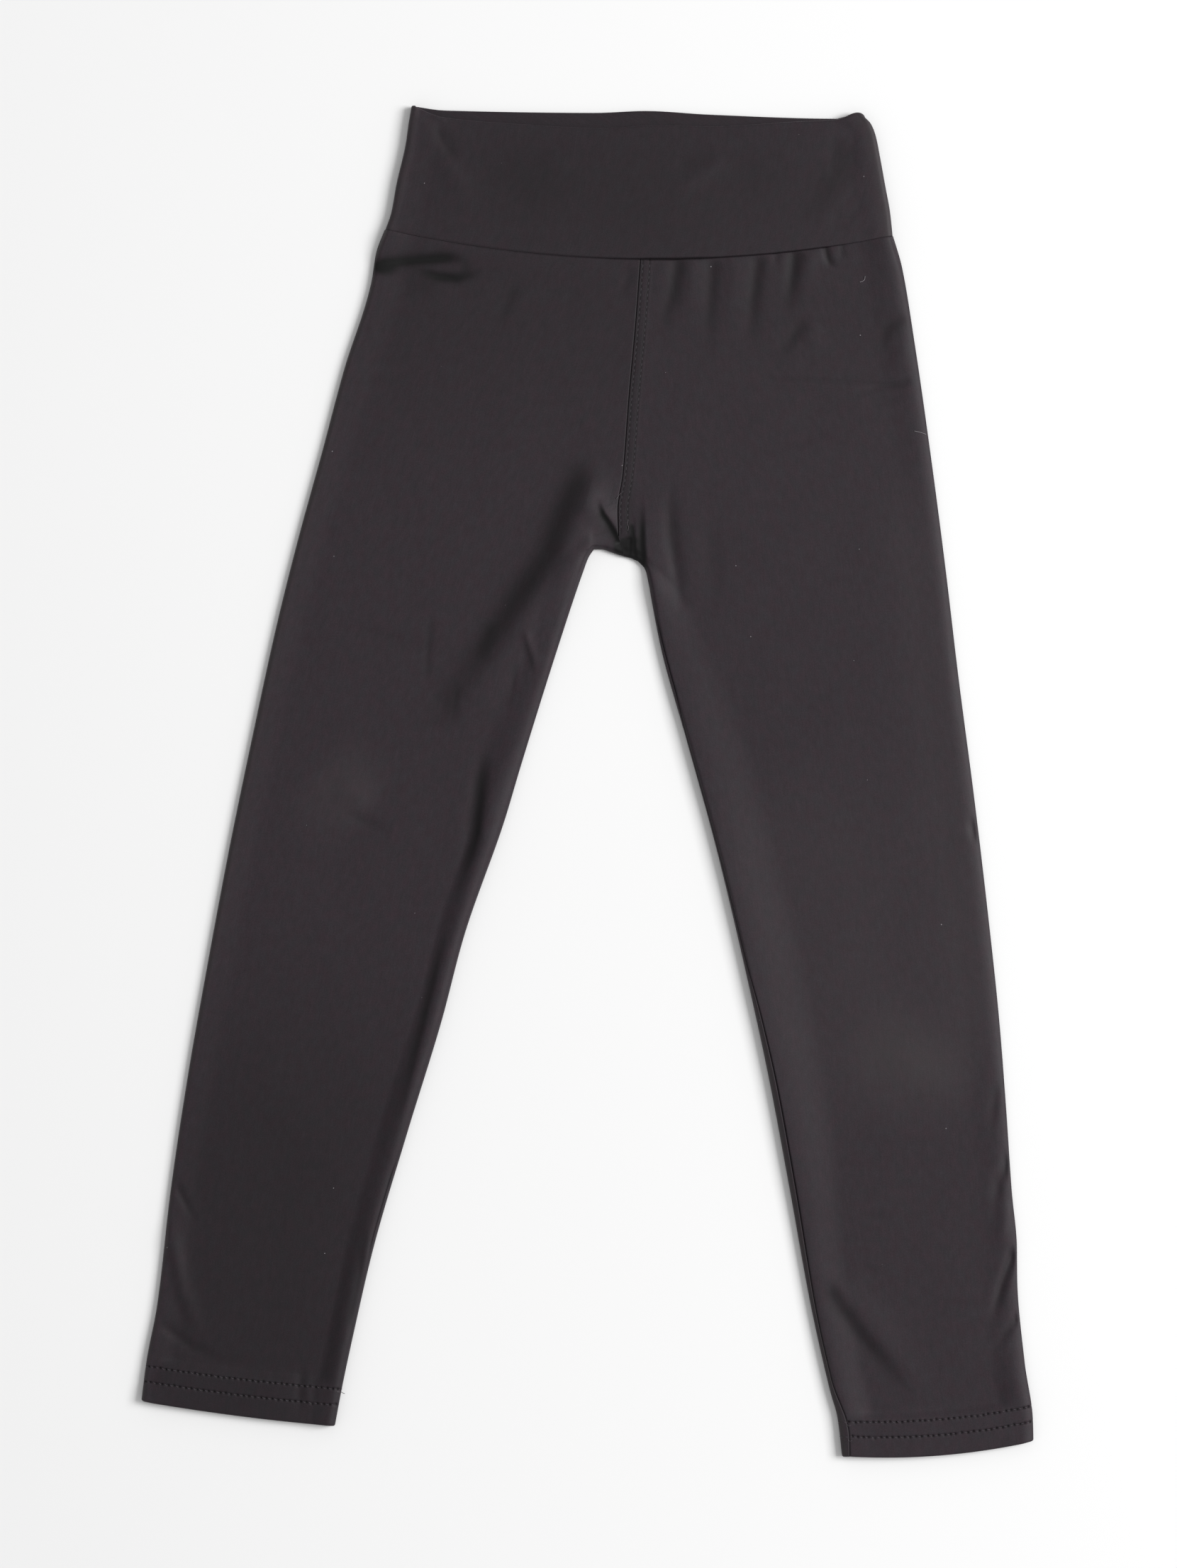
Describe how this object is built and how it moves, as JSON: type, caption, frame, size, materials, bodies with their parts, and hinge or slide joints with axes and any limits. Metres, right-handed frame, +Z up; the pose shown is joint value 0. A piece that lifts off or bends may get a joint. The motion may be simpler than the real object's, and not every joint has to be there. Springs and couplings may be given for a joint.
{
  "type": "leggings",
  "caption": "High-waisted child's leggings in dark brushed stretch jersey, laid flat with the front up, the legs slightly apart.",
  "frame": {"origin": "centre of the bounding box at the surface the leggings lie on", "axes": "+Y from the hems to the waistband, +X to the right of the laid garment (the wearer's left), +Z up, out of the front of the cloth"},
  "size_m": [0.4148, 0.6286, 0.0076],
  "materials": {
    "waistband_jersey": "brushed cotton stretch jersey, charcoal black, matt with a short nap",
    "leg_jersey": "brushed cotton stretch jersey, charcoal black, matt with a short nap"
  },
  "bodies": {
    "root": {"waistband": "waistband_jersey", "leg_left": "leg_jersey", "leg_right": "leg_jersey"}
  },
  "joints": []
}
